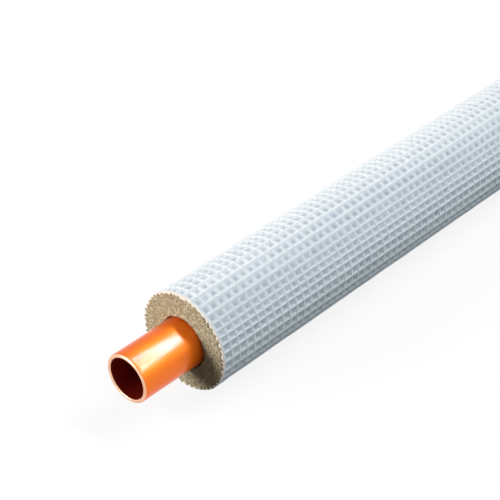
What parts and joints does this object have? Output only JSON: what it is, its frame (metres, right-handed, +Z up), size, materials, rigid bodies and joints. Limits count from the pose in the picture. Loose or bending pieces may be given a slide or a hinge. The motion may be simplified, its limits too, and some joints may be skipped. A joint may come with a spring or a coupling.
{
  "type": "insulated copper tube",
  "caption": "Straight cut length of copper tube in a foam sleeve with an embossed white film jacket, bared at one end for joining.",
  "frame": {"origin": "on the floor under the middle of the piece", "axes": "+X along the tube, away from the bared end; +Z up; +Y to the left of a person who looks along +X"},
  "size_m": [1, 0.026, 0.026],
  "materials": {
    "copper": "bright drawn copper",
    "foam": "matte closed-cell foam",
    "film": "satin embossed film"
  },
  "bodies": {
    "root": {"copper_tube": "copper", "foam_sleeve": "foam", "film_jacket": "film"}
  },
  "joints": []
}
